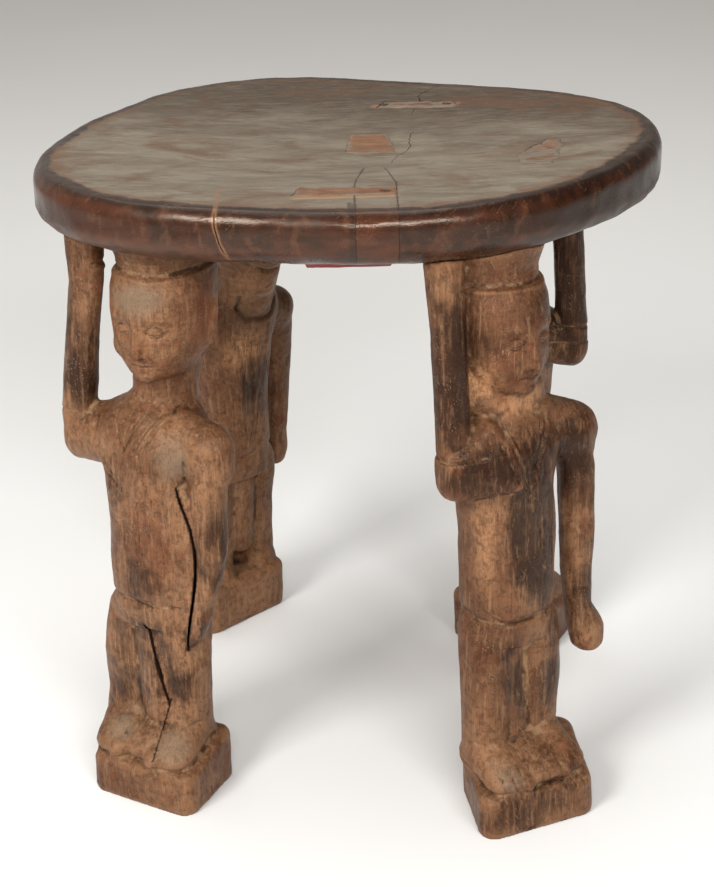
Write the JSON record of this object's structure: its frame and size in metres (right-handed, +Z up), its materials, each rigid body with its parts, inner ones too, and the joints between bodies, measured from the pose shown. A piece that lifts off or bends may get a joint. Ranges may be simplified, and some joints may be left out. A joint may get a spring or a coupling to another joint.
{
  "type": "figure-carved stool",
  "caption": "Low round stool: a thick dished wooden seat with old let-in repairs, carried on the heads and raised hands of standing carved figures on plinths.",
  "frame": {"origin": "on the floor, at the middle of the stool's own box", "axes": "+Z up out of the top of the seat, -Y towards the front, where the wedge in the rim is, +X to the right as seen from the front"},
  "size_m": [0.4274, 0.3971, 0.443],
  "materials": {
    "seat_wood": "old hardwood, dark and polished on the rim, weathered grey-brown on top",
    "figure_wood": "adzed hardwood, worn and dusty with a dull polish on the high places",
    "inlay_wood": "lighter orange-brown wood, worn",
    "peg_wood": "dark end grain",
    "cleat_wood": "red-brown paint worn off a thin wooden cleat",
    "nail_iron": "rusty forged iron"
  },
  "bodies": {
    "root": {"seat": "seat_wood", "rim_wedge": "seat_wood", "front_repair_bar": "inlay_wood", "front_bar_peg": "peg_wood", "rear_repair_bar": "inlay_wood", "rear_bar_pegs": "peg_wood", "centre_repair_patch": "inlay_wood", "right_repair_patch": "inlay_wood", "underside_cleat": "cleat_wood", "cleat_nails": "nail_iron", "figure_front_left": "figure_wood", "figure_front_right": "figure_wood", "figure_back_right": "figure_wood", "figure_back_left": "figure_wood"}
  },
  "joints": []
}
